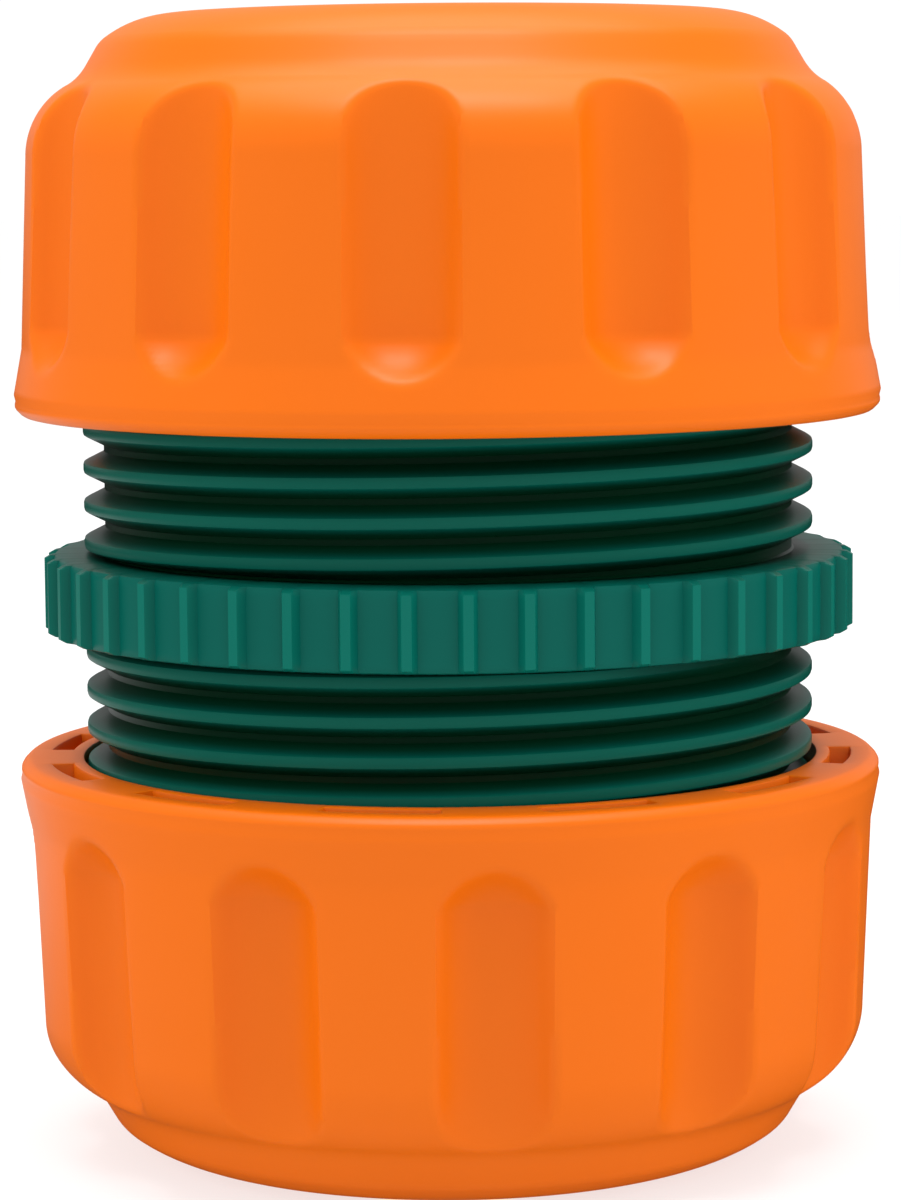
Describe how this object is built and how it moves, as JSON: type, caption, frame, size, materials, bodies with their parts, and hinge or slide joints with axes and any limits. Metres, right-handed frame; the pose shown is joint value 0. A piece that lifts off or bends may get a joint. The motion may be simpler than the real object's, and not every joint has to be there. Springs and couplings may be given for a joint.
{
  "type": "hose mender",
  "caption": "Straight hose mender: a knurled collar between two threaded sleeves with barbed tails inside, and a fluted clamping nut with a split collet on each end.",
  "frame": {"origin": "centre of the lower nut's end face, on the hose axis", "axes": "+Z along the hose axis, from the lower nut to the upper one; the pictured side faces -Y"},
  "size_m": [0.0462, 0.046, 0.0603],
  "materials": {
    "green_plastic": "injection moulded, soft gloss",
    "orange_plastic": "injection moulded, satin"
  },
  "bodies": {
    "body": {"body": "green_plastic"},
    "upper_collet": {"upper_collet": "green_plastic"},
    "upper_nut": {"upper_nut": "orange_plastic"},
    "lower_collet": {"lower_collet": "green_plastic"},
    "lower_nut": {"lower_nut": "orange_plastic"}
  },
  "joints": [
    {"name": "upper_travel", "type": "slide", "parent": "body", "child": "upper_collet", "axis": [0, 0, 1], "range_m": [-0.006, 0.007]},
    {"name": "upper_turn", "type": "hinge", "parent": "upper_collet", "child": "upper_nut", "pos_m": [0, 0, 0.05], "axis": [0, 0, 1], "range_deg": [-1080, 1260]},
    {"name": "lower_travel", "type": "slide", "parent": "body", "child": "lower_collet", "axis": [0, 0, 1], "range_m": [-0.007, 0.006]},
    {"name": "lower_turn", "type": "hinge", "parent": "lower_collet", "child": "lower_nut", "pos_m": [0, 0, 0.01], "axis": [0, 0, 1], "range_deg": [-1260, 1080]}
  ],
  "couplings": [
    {"joint": "upper_travel", "follows": "upper_turn", "m_per_rad": 0.00031831},
    {"joint": "lower_travel", "follows": "lower_turn", "m_per_rad": 0.00031831}
  ]
}
